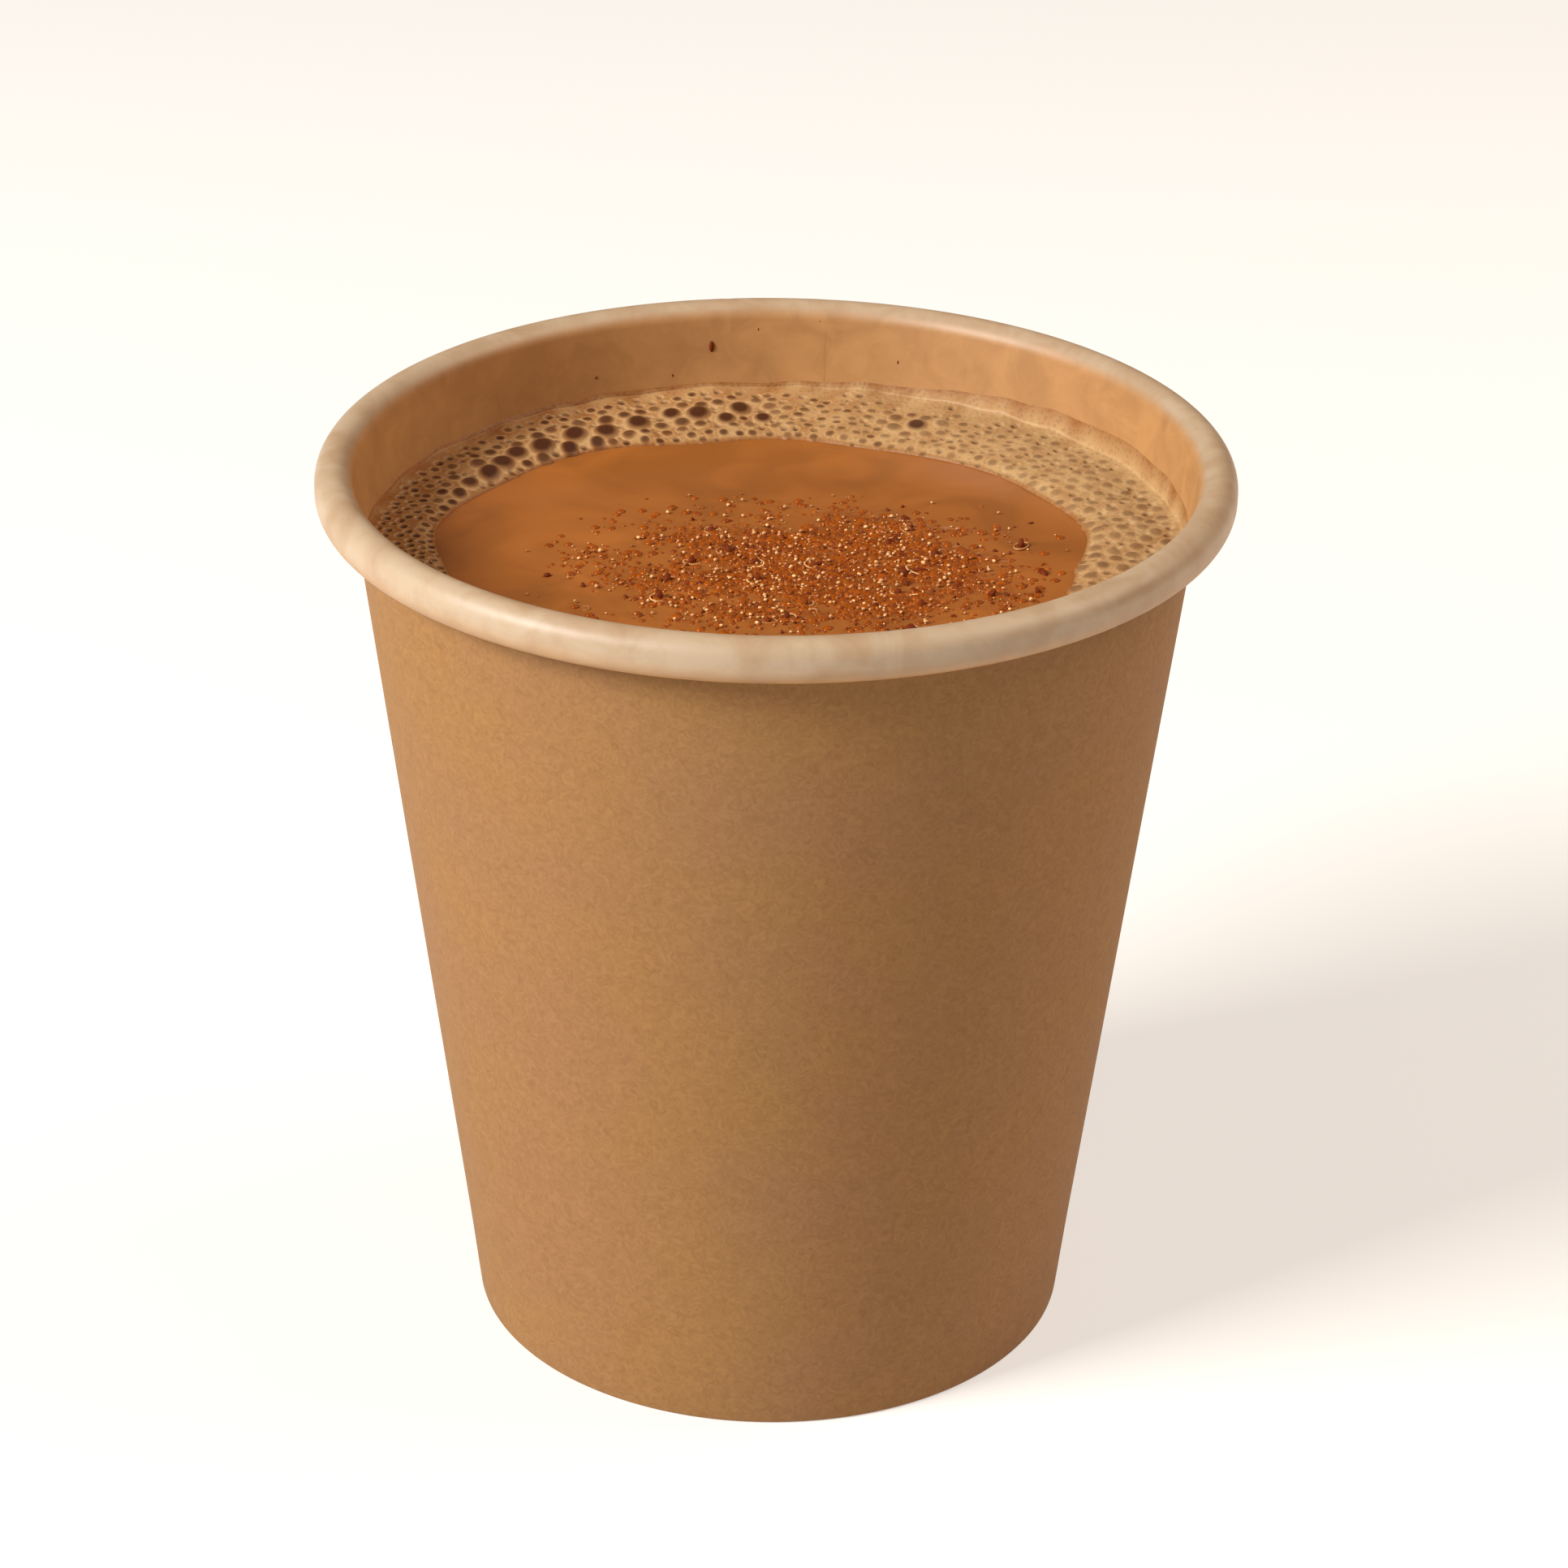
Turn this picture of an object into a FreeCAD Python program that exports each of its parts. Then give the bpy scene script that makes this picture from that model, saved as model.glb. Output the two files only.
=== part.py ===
import FreeCAD, Part
import math
import os
from types import SimpleNamespace

import Sketcher

# A paper cup of masala chai, as a parametric document.
#
# Millimetres, +Z up. The origin is on the table, at the middle of the cup's foot, and the
# glued lap of the cup faces +Y.
#
# The cup is made as paper cups are: a conical side sheet, lapped and glued at the back,
# curled outwards into a roll at the mouth, and folded in and up round the foot, where it
# clamps the turned-down skirt of a separate floor disc. The chai fills the cup to its
# level, and a ring of froth lies on it against the wall.

SIZES = {
    "cup_height": 76.0,       # table to the top of the rolled rim
    "rim_diameter": 74.0,     # across the outside of the rolled rim
    "foot_diameter": 50.0,    # across the side sheet, where its line meets the table
    "side_board": 0.35,       # thickness of the side sheet
    "floor_board": 0.35,      # thickness of the floor disc
    "roll_width": 3.1,        # the rolled rim, from its inner to its outer skin
    "roll_straight": 0.5,     # upright stretch between the top and bottom of the roll
    "curl_gap": 0.12,         # from the end of the curl to the wall behind it
    "lap_angle": 14.0,        # width of the glued lap, as an angle about the axis
    "lap_tuck": 0.2,          # how far the lap reaches up past the bottom of the roll
    "foot_round": 0.3,        # rounding where the sheet is folded at the foot
    "floor_recess": 6.0,      # table to the underside of the floor disc
    "floor_bend": 0.8,        # outer radius where the disc turns down into its skirt
    "fold_gap": 0.55,         # from the top of the inner fold up to that bend
    "skirt_gap": 0.05,        # from the edge of the skirt down to the fold
    "drink_drop": 8.0,        # from the top of the rim down to the surface of the chai
    "froth_height": 1.0,      # height of the froth above the chai
    "froth_round": 0.45,      # rounding of the froth's inner edge
    "froth_breadth": 8.8,     # mean breadth of the ring of froth, in from the wall
    "froth_oval": 1.9,        # the ring is this much narrower at +X and -X, broader at +Y and -Y
    "froth_shift": 1.1,       # the ring is this much narrower at -X, broader at +X
    "froth_wave": 0.35,       # height of the waves along the froth's inner edge
}

# What follows from the driving sizes, as formulas of the sheet.
FORMULAS = {
    "roll_skin": "roll_width / 2",
    "roll_inside": "roll_skin - side_board",
    "roll_radius": "rim_diameter / 2 - roll_skin",
    "roll_top": "cup_height - roll_skin",
    "roll_low": "roll_top - roll_straight",
    "wall_lean": "acos(roll_inside / sqrt((roll_radius - foot_diameter / 2) ^ 2 + roll_top ^ 2))"
                 " - atan2(roll_top; roll_radius - foot_diameter / 2)",
    "lap_top": "roll_low - roll_skin + lap_tuck",
    "clamp_width": "side_board + floor_board",
    "fold_width": "clamp_width + side_board",
    "floor_top": "floor_recess + floor_board",
    "bend_height": "floor_top - floor_bend",
    "fold_height": "bend_height - fold_gap",
    "skirt_edge": "side_board + skirt_gap",
    "drink_level": "cup_height - drink_drop",
    "froth_level": "drink_level + froth_height",
    "drink_radius": "foot_diameter / 2 - side_board / cos(wall_lean) + drink_level * tan(wall_lean)",
    "opening_radius": "drink_radius - froth_breadth",
}

WAVES_ROUND_EDGE = 9
POINTS_PER_WAVE = 8

SUB_PARTS = ("cup_wall", "cup_floor", "chai", "froth")

# Positions on a sketch edge, and the sketch's own origin and axes.
START, END, CENTRE = 1, 2, 3
ORIGIN = (-1, 1)
X_AXIS, Y_AXIS = -1, -2


def make_sheet(doc):
    """The spreadsheet with the driving sizes and what follows from them."""
    sheet = doc.addObject("Spreadsheet::Sheet", "Sizes")
    cells = [(name, str(value)) for name, value in SIZES.items()]
    cells += [(name, f"={formula}") for name, formula in FORMULAS.items()]
    for row, (name, content) in enumerate(cells, start=1):
        sheet.set(f"A{row}", name)
        sheet.set(f"B{row}", content)
        sheet.setAlias(f"B{row}", name)
    doc.recompute()
    return sheet


def read_sheet(sheet):
    """The sheet's values as plain numbers, in millimetres and degrees."""
    values = {name: sheet.get(name) for name in (*SIZES, *FORMULAS)}
    return SimpleNamespace(**{name: float(getattr(v, "Value", v)) for name, v in values.items()})


def make_body(doc, name):
    """An empty body whose label names its sub-part."""
    body = doc.addObject("PartDesign::Body", name)
    body.Label = name
    return body


def origin_feature(body, role):
    """One of the body's own origin planes or axes."""
    return next(feature for feature in body.Origin.OriginFeatures if feature.Role == role)


class Outline:
    """A closed outline on one of a body's origin planes, drawn first and then dimensioned."""

    def __init__(self, body, name, plane):
        self.sketch = body.newObject("Sketcher::SketchObject", name)
        self.sketch.AttachmentSupport = (origin_feature(body, plane), [""])
        self.sketch.MapMode = "FlatFace"

    def line(self, start, end):
        """A straight edge."""
        edge = Part.LineSegment(FreeCAD.Vector(*start, 0), FreeCAD.Vector(*end, 0))
        return self.sketch.addGeometry(edge, False)

    def arc(self, centre, radius, start_angle, end_angle):
        """An anticlockwise arc, with its angles in degrees."""
        circle = Part.Circle(FreeCAD.Vector(*centre, 0), FreeCAD.Vector(0, 0, 1), radius)
        edge = Part.ArcOfCircle(circle, math.radians(start_angle), math.radians(end_angle))
        return self.sketch.addGeometry(edge, False)

    def mark(self, place):
        """A construction point."""
        return self.sketch.addGeometry(Part.Point(FreeCAD.Vector(*place, 0)), True)

    def polygon(self, corners):
        """Straight edges from corner to corner and back, joined end to end."""
        edges = [self.line(a, b) for a, b in zip(corners, corners[1:] + corners[:1])]
        for edge, following in zip(edges, edges[1:] + edges[:1]):
            self.tie("Coincident", edge, END, following, START)
        return edges

    def tie(self, *description):
        """A constraint without a size."""
        return self.sketch.addConstraint(Sketcher.Constraint(*description))

    def size(self, name, formula, *description):
        """A dimension that follows a formula of the sheet."""
        index = self.tie(*description)
        self.sketch.renameConstraint(index, name)
        self.sketch.setExpression(f"Constraints.{name}", formula)
        return index


class Wall:
    """The leaning side sheet, as seen in a section through the axis."""

    def __init__(self, sizes):
        self.foot = sizes.foot_diameter / 2
        self.lean = math.radians(sizes.wall_lean)

    def at(self, inwards, height):
        """The point at a height on the plane that lies so far inside the outer face."""
        out = self.foot - inwards / math.cos(self.lean) + height * math.tan(self.lean)
        return (out, height)

    def beside(self, centre, distance):
        """The point at a distance from a centre, square to the wall and outwards."""
        out = centre[0] + distance * math.cos(self.lean)
        return (out, centre[1] - distance * math.sin(self.lean))


def anchor_foot(outline, wall, edge):
    """Ties a leaning edge's line to the point where the outer face meets the table."""
    corner = outline.mark(wall.at(0, 0))
    outline.tie("PointOnObject", corner, START, X_AXIS)
    outline.tie("PointOnObject", corner, START, edge)
    outline.size("foot_radius", "Sizes.foot_diameter / 2", "DistanceX", *ORIGIN, corner, START,
                 wall.foot)


def lean_guide(outline, wall, top):
    """A construction line along the wall's outer face, for sketches of what it holds."""
    guide = outline.line(wall.at(0, 0), wall.at(0, top))
    outline.sketch.setConstruction(guide, True)
    outline.tie("PointOnObject", guide, START, X_AXIS)
    outline.size("foot_radius", "Sizes.foot_diameter / 2", "DistanceX", *ORIGIN, guide, START,
                 wall.foot)
    outline.size("lean", "90 deg - Sizes.wall_lean", "Angle", X_AXIS, guide,
                 math.pi / 2 - wall.lean)
    outline.size("guide_top", "Sizes.cup_height", "DistanceY", *ORIGIN, guide, END, top)
    return guide


def revolve(body, outline, name):
    """Turns an outline once round the upright axis."""
    feature = body.newObject("PartDesign::Revolution", name)
    feature.Profile = outline.sketch
    feature.ReferenceAxis = (origin_feature(body, "Z_Axis"), [""])
    feature.Angle = 360.0
    return feature


def draw_side_section(body, sizes):
    """Section of the side sheet: the folded foot, the leaning wall and the rolled rim."""
    wall = Wall(sizes)
    lean = sizes.wall_lean
    board = sizes.side_board
    skin = sizes.roll_skin
    inside = sizes.roll_inside
    top = (sizes.roll_radius, sizes.roll_top)
    low = (sizes.roll_radius, sizes.roll_low)
    low_to_wall = inside + sizes.roll_straight * math.sin(wall.lean)
    curl_end = lean + math.degrees(math.acos((sizes.curl_gap - low_to_wall) / skin))
    corner = sizes.foot_round
    outer_centre = (wall.foot - corner, corner)
    inner_centre = (wall.at(sizes.fold_width, 0)[0] + corner, corner)

    def round_roll(centre, radius, angle):
        turn = math.radians(angle)
        return (centre[0] + radius * math.cos(turn), centre[1] + radius * math.sin(turn))

    o = Outline(body, "side_section", "XZ_Plane")
    wall_out = o.line(wall.beside(outer_centre, corner), wall.beside(top, -inside))
    top_inner = o.arc(top, inside, 0, 180 - lean)
    side_inner = o.line(round_roll(top, inside, 0), round_roll(low, inside, 0))
    low_inner = o.arc(low, inside, -curl_end, 0)
    curl_edge = o.line(round_roll(low, inside, -curl_end), round_roll(low, skin, -curl_end))
    low_outer = o.arc(low, skin, -curl_end, 0)
    side_outer = o.line(round_roll(low, skin, 0), round_roll(top, skin, 0))
    top_outer = o.arc(top, skin, 0, 180 - lean)
    wall_in = o.line(wall.beside(top, -skin), wall.at(board, board))
    slot_floor = o.line(wall.at(board, board), wall.at(sizes.clamp_width, board))
    fold_out = o.line(wall.at(sizes.clamp_width, board),
                      wall.at(sizes.clamp_width, sizes.fold_height))
    fold_edge = o.line(wall.at(sizes.clamp_width, sizes.fold_height),
                       wall.at(sizes.fold_width, sizes.fold_height))
    fold_in = o.line(wall.at(sizes.fold_width, sizes.fold_height),
                     wall.beside(inner_centre, -corner))
    inner_corner = o.arc(inner_centre, corner, 180 - lean, 270)
    foot = o.line((inner_centre[0], 0), (outer_centre[0], 0))
    outer_corner = o.arc(outer_centre, corner, -90, -lean)

    o.tie("Tangent", wall_out, END, top_inner, END)
    o.tie("Tangent", top_inner, START, side_inner, START)
    o.tie("Tangent", side_inner, END, low_inner, END)
    o.tie("Coincident", low_inner, START, curl_edge, START)
    o.tie("Coincident", curl_edge, END, low_outer, START)
    o.tie("Tangent", low_outer, END, side_outer, START)
    o.tie("Tangent", side_outer, END, top_outer, START)
    o.tie("Tangent", top_outer, END, wall_in, START)
    o.tie("Coincident", wall_in, END, slot_floor, START)
    o.tie("Coincident", slot_floor, END, fold_out, START)
    o.tie("Coincident", fold_out, END, fold_edge, START)
    o.tie("Coincident", fold_edge, END, fold_in, START)
    o.tie("Tangent", fold_in, END, inner_corner, START)
    o.tie("Tangent", inner_corner, END, foot, START)
    o.tie("Tangent", foot, END, outer_corner, START)
    o.tie("Tangent", outer_corner, END, wall_out, START)
    o.tie("Coincident", top_inner, CENTRE, top_outer, CENTRE)
    o.tie("Coincident", low_inner, CENTRE, low_outer, CENTRE)
    o.tie("Equal", top_outer, low_outer)
    o.tie("Vertical", side_inner)
    o.tie("Vertical", side_outer)
    o.tie("PointOnObject", low_outer, CENTRE, curl_edge)
    o.tie("PointOnObject", foot, START, X_AXIS)
    o.tie("Horizontal", foot)
    o.tie("Horizontal", slot_floor)
    o.tie("Horizontal", fold_edge)
    o.tie("Parallel", wall_out, wall_in)
    o.tie("Parallel", wall_out, fold_out)
    o.tie("Parallel", wall_out, fold_in)

    anchor_foot(o, wall, wall_out)
    o.size("roll_radius", "Sizes.roll_radius", "DistanceX", *ORIGIN, top_outer, CENTRE, top[0])
    o.size("roll_top", "Sizes.roll_top", "DistanceY", *ORIGIN, top_outer, CENTRE, top[1])
    o.size("roll_low", "Sizes.roll_low", "DistanceY", *ORIGIN, low_outer, CENTRE, low[1])
    o.size("roll_skin", "Sizes.roll_skin", "Radius", top_outer, skin)
    o.size("roll_inside", "Sizes.roll_inside", "Radius", top_inner, inside)
    o.size("curl_gap", "Sizes.curl_gap", "Distance", curl_edge, END, wall_out, sizes.curl_gap)
    o.size("slot_height", "Sizes.side_board", "DistanceY", *ORIGIN, slot_floor, START, board)
    o.size("slot_width", "Sizes.floor_board", "Distance", fold_out, START, wall_in,
           sizes.floor_board)
    o.size("fold_height", "Sizes.fold_height", "DistanceY", *ORIGIN, fold_edge, START,
           sizes.fold_height)
    o.size("fold_board", "Sizes.side_board", "Distance", fold_edge, END, fold_out, board)
    o.size("outer_round", "Sizes.foot_round", "Radius", outer_corner, corner)
    o.size("inner_round", "Sizes.foot_round", "Radius", inner_corner, corner)
    return o



def make_cup_wall(doc, sizes):
    """The side sheet of the cup, with its glued lap at the back."""
    body = make_body(doc, "cup_wall")
    revolve(body, draw_side_section(body, sizes), "side_sheet")
    wall = Wall(sizes)
    o = Outline(body, "lap_section", "YZ_Plane")
    guide = lean_guide(o, wall, sizes.cup_height)
    sunk = sizes.side_board / 2
    proud = sizes.side_board
    low, high = sizes.foot_round, sizes.lap_top
    face_in, edge_high, face_out, edge_low = o.polygon([
        wall.at(sunk, low), wall.at(sunk, high), wall.at(-proud, high), wall.at(-proud, low)])
    o.tie("Parallel", face_in, guide)
    o.tie("Parallel", face_out, guide)
    o.tie("Horizontal", edge_high)
    o.tie("Horizontal", edge_low)
    o.size("sunk", "Sizes.side_board / 2", "Distance", face_in, START, guide, sunk)
    o.size("proud", "Sizes.side_board", "Distance", face_out, START, guide, proud)
    o.size("lap_low", "Sizes.foot_round", "DistanceY", *ORIGIN, edge_low, START, low)
    o.size("lap_high", "Sizes.lap_top", "DistanceY", *ORIGIN, edge_high, START, high)
    lap = revolve(body, o, "lap")
    lap.Midplane = True
    lap.setExpression("Angle", "Sizes.lap_angle")
    return body


def make_cup_floor(doc, sizes):
    """The floor disc, with the skirt that the folded foot clamps."""
    body = make_body(doc, "cup_floor")
    wall = Wall(sizes)
    lean = sizes.wall_lean
    board, clamp = sizes.side_board, sizes.clamp_width
    top, under, edge = sizes.floor_top, sizes.floor_recess, sizes.skirt_edge
    radius = sizes.floor_bend
    centre = (wall.at(board, top - radius)[0] - radius, top - radius)

    o = Outline(body, "floor_section", "XZ_Plane")
    guide = lean_guide(o, wall, sizes.cup_height)
    axis = o.line((0, top), (0, under))
    disc_under = o.line((0, under), (centre[0], under))
    bend_in = o.arc(centre, radius - sizes.floor_board, -lean, 90)
    skirt_in = o.line(wall.beside(centre, radius - sizes.floor_board), wall.at(clamp, edge))
    skirt_edge = o.line(wall.at(clamp, edge), wall.at(board, edge))
    skirt_out = o.line(wall.at(board, edge), wall.beside(centre, radius))
    bend_out = o.arc(centre, radius, -lean, 90)
    disc_top = o.line((centre[0], top), (0, top))

    o.tie("Coincident", axis, END, disc_under, START)
    o.tie("Tangent", disc_under, END, bend_in, END)
    o.tie("Tangent", bend_in, START, skirt_in, START)
    o.tie("Coincident", skirt_in, END, skirt_edge, START)
    o.tie("Coincident", skirt_edge, END, skirt_out, START)
    o.tie("Tangent", skirt_out, END, bend_out, START)
    o.tie("Tangent", bend_out, END, disc_top, START)
    o.tie("Coincident", disc_top, END, axis, START)
    o.tie("Coincident", bend_in, CENTRE, bend_out, CENTRE)
    o.tie("Horizontal", disc_top)
    o.tie("Horizontal", disc_under)
    o.tie("Horizontal", skirt_edge)
    o.tie("PointOnObject", axis, START, Y_AXIS)
    o.tie("PointOnObject", axis, END, Y_AXIS)
    o.tie("Parallel", skirt_in, guide)
    o.tie("Parallel", skirt_out, guide)
    o.size("beside_wall", "Sizes.side_board", "Distance", skirt_out, START, guide, board)
    o.size("floor_recess", "Sizes.floor_recess", "DistanceY", *ORIGIN, axis, END, under)
    o.size("floor_top", "Sizes.floor_top", "DistanceY", *ORIGIN, axis, START, top)
    o.size("floor_bend", "Sizes.floor_bend", "Radius", bend_out, radius)
    o.size("skirt_edge", "Sizes.skirt_edge", "DistanceY", *ORIGIN, skirt_edge, START, edge)
    revolve(body, o, "floor_disc")
    return body


def draw_filling(body, sizes, low, high):
    """Section of what fills the cup between two levels, out to the inner face of the wall.

    The levels are names of cells, so that the section follows them.
    """
    wall = Wall(sizes)
    board = sizes.side_board
    bottom, top = getattr(sizes, low), getattr(sizes, high)
    o = Outline(body, f"{body.Name}_section", "XZ_Plane")
    guide = lean_guide(o, wall, sizes.cup_height)
    under, side, surface, axis = o.polygon([
        (0, bottom), wall.at(board, bottom), wall.at(board, top), (0, top)])
    o.tie("PointOnObject", axis, START, Y_AXIS)
    o.tie("PointOnObject", axis, END, Y_AXIS)
    o.tie("Horizontal", under)
    o.tie("Horizontal", surface)
    o.tie("Parallel", side, guide)
    o.size("beside_wall", "Sizes.side_board", "Distance", side, START, guide, board)
    o.size("bottom", f"Sizes.{low}", "DistanceY", *ORIGIN, under, START, bottom)
    o.size("top", f"Sizes.{high}", "DistanceY", *ORIGIN, surface, END, top)
    return o


def make_chai(doc, sizes):
    """The chai, from the floor disc up to its surface."""
    body = make_body(doc, "chai")
    revolve(body, draw_filling(body, sizes, "floor_top", "drink_level"), "drink")
    return body


def opening_edge(sizes):
    """The wavy edge of the clear surface inside the froth, as a closed smooth curve."""
    count = WAVES_ROUND_EDGE * POINTS_PER_WAVE
    points = []
    for index in range(count):
        turn = 2 * math.pi * index / count
        radius = (sizes.opening_radius
                  + sizes.froth_oval * math.cos(2 * turn)
                  - sizes.froth_shift * math.cos(turn)
                  + sizes.froth_wave * math.sin(WAVES_ROUND_EDGE * turn))
        points.append(FreeCAD.Vector(radius * math.cos(turn), radius * math.sin(turn), 0))
    curve = Part.BSplineCurve()
    curve.interpolate(Points=points, PeriodicFlag=True)
    return curve


def make_froth(doc, sizes):
    """The ring of froth that lies on the chai against the wall."""
    body = make_body(doc, "froth")
    layer = revolve(body, draw_filling(body, sizes, "drink_level", "froth_level"), "froth_layer")
    o = Outline(body, "opening_edge", "XY_Plane")
    edge = o.sketch.addGeometry(opening_edge(sizes), False)
    o.tie("Block", edge)
    opening = body.newObject("PartDesign::Pocket", "opening")
    opening.Profile = o.sketch
    opening.Type = "ThroughAll"
    opening.Midplane = True
    doc.recompute()
    if opening.Shape.Volume >= layer.Shape.Volume:
        raise RuntimeError("the froth's opening cuts nothing")

    level = sizes.froth_level
    names = [f"Edge{index}" for index, rim in enumerate(opening.Shape.Edges, start=1)
             if isinstance(rim.Curve, Part.BSplineCurve) and abs(rim.BoundBox.ZMin - level) < 1e-3]
    rounding = body.newObject("PartDesign::Fillet", "soft_edge")
    rounding.Base = (opening, names)
    rounding.setExpression("Radius", "Sizes.froth_round")
    return body


def check(doc):
    """Stops if any object has failed or any sub-part is not a valid solid."""
    failed = [item.Name for item in doc.Objects if {"Invalid", "Error"} & set(item.State)]
    if failed:
        raise RuntimeError(f"failed: {failed}")
    for name in SUB_PARTS:
        shape = doc.getObjectsByLabel(name)[0].Shape
        if shape.isNull() or not shape.isValid() or len(shape.Solids) != 1:
            raise RuntimeError(f"{name} is not one valid solid")
        box = shape.optimalBoundingBox(False)
        print(f"{name}: {shape.Volume:.1f} mm3, z {box.ZMin:.3f} to {box.ZMax:.3f}, "
              f"x {box.XMin:.3f} to {box.XMax:.3f}, y {box.YMin:.3f} to {box.YMax:.3f}")


def main():
    doc = FreeCAD.newDocument("Masala_chai")
    sizes = read_sheet(make_sheet(doc))
    make_cup_wall(doc, sizes)
    make_cup_floor(doc, sizes)
    make_chai(doc, sizes)
    make_froth(doc, sizes)
    doc.recompute()
    check(doc)
    os.makedirs("parts", exist_ok=True)
    for name in SUB_PARTS:
        doc.getObjectsByLabel(name)[0].Shape.exportStep(f"parts/{name}.step")


main()
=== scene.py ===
import math

import bmesh
import bpy
import numpy as np
from bpy.props import FloatProperty, FloatVectorProperty, IntProperty, PointerProperty
from mathutils import Matrix, Vector


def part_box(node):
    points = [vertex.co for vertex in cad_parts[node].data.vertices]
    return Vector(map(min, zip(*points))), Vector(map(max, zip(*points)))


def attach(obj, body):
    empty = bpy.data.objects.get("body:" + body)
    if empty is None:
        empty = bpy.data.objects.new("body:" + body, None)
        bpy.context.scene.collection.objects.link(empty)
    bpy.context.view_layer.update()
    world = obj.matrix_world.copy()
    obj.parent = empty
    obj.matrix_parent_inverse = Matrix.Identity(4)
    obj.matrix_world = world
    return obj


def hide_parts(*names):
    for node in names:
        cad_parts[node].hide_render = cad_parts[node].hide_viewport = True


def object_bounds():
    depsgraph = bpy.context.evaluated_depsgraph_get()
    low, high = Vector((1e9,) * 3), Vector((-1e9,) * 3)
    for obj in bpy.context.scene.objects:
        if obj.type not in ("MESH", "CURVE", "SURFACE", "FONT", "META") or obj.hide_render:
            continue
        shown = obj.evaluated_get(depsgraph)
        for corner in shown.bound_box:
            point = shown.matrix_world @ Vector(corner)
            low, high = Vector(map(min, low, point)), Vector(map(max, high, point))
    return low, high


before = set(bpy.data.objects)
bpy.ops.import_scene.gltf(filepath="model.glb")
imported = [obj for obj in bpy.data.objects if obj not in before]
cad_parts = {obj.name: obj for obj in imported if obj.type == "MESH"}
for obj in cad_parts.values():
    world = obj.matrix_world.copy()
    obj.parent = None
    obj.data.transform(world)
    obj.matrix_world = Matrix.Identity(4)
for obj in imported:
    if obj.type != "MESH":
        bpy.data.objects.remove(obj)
CAD_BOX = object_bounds()

bl_info = {
    "name": "Masala chai in a paper cup",
    "version": (1, 0, 0),
    "blender": (4, 5, 0),
    "location": "3D View > Sidebar > Chai",
    "description": "Builds the visual model of a paper cup of masala chai around its packed frame",
    "category": "Add Mesh",
}

MM = 0.001
CM = 0.01
BODY = "root"
LAP_TURN = 90.0    # the glued lap of the side sheet faces +Y, in degrees about the axis
FULL_TURN = 360.0


def linear(hex_code):
    """An sRGB hex colour as the linear red, green and blue that shaders and colour sockets take."""
    channels = [int(hex_code[i:i + 2], 16) / 255 for i in (1, 3, 5)]
    return tuple(c / 12.92 if c <= 0.04045 else ((c + 0.055) / 1.055) ** 2.4 for c in channels)


# ---- What a user may change ----

def length(name, description, millimetres):
    """A length setting, given in millimetres and kept in metres."""
    return FloatProperty(name=name, description=description, default=millimetres * MM, min=0,
                         precision=5, subtype="DISTANCE", unit="LENGTH")


def colour(name, description, hex_code):
    """A colour setting, given as sRGB hex."""
    return FloatVectorProperty(name=name, description=description, default=linear(hex_code),
                               min=0, max=1, subtype="COLOR")


def angle(name, description, degrees):
    """An angle setting, given in degrees and kept in radians."""
    return FloatProperty(name=name, description=description, default=math.radians(degrees),
                         subtype="ANGLE", unit="ROTATION")


def amount(name, description, default, kind=IntProperty):
    """A plain number that isn't below nought, whole unless kind says otherwise."""
    return kind(name=name, description=description, default=default, min=0)


class CupSettings(bpy.types.PropertyGroup):
    """Sizes and colours of the paper cup."""
    foot_diameter: length("Foot diameter", "Across the side sheet at the table", 50.0)
    board: length("Board", "Thickness of the side sheet and of the floor disc", 0.35)
    roll_width: length("Roll width", "Rolled rim, from its inner to its outer skin", 3.1)
    roll_straight: length("Roll straight", "Upright stretch of the roll's side", 0.5)
    curl_gap: length("Curl gap", "From the end of the curl to the wall behind it", 0.12)
    foot_round: length("Foot rounding", "Rounding where the sheet is folded at the foot", 0.3)
    floor_bend: length("Floor bend", "Outer radius where the floor turns into its skirt", 0.8)
    fold_gap: length("Fold gap", "From the top of the inner fold up to the floor's bend", 0.55)
    lap_width: angle("Lap width", "Width of the glued lap about the axis", 14)
    kraft: colour("Kraft", "Bare outer face of the board", "#966C3C")
    kraft_pink: colour("Kraft blotches", "Warmer cloudy patches in the board", "#946A42")
    kraft_fibre: colour("Kraft fibres", "Darker fibres in the board", "#774E27")
    lined: colour("Lined kraft", "Inner face, under a clear film", "#B68552")
    # Paler and greyer than the lined wall: in part film hazed by rolling, in part a painted highlight for
    # the pale sheen of the rim.
    rim: colour("Rolled rim", "Where rolling has stretched the film and hazed it", "#B39B80")
    rim_dull: colour("Rim mottle", "Duller patches of the rolled rim", "#9E7B58")


class DrinkSettings(bpy.types.PropertyGroup):
    """Sizes and colours of the chai and its froth."""
    froth_breadth: length("Froth breadth", "Mean breadth of the ring of froth", 8.8)
    froth_oval: length("Froth oval", "How much narrower the ring is at its sides", 1.9)
    froth_shift: length("Froth shift", "How much narrower the ring is at the left", 1.1)
    froth_wave: length("Froth waves", "Height of the waves along the ring's edge", 0.35)
    froth_depth: length("Froth depth", "Height of the froth between its bubbles", 0.55)
    bubble_small: length("Smallest bubble", "Radius of the smallest modelled bubble", 0.24)
    bubble_large: length("Largest bubble", "Radius of the largest bubble, at the back left", 1.15)
    seed: amount("Seed", "Seed for the froth's bubbles", 7)
    film: colour("Thin froth", "Froth so thin that the tea or the board shows through", "#925E30")
    tea: colour("Chai", "Milky tea", "#955824")
    froth: colour("Froth", "Fine froth between the bubbles", "#BC9768")
    # The bubble colour is much darker than the chai itself: painted shade for the dimness inside bubbles
    # and hollows.
    bubble: colour("Bubble", "Tea seen through a bubble's film", "#43200E")


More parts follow.
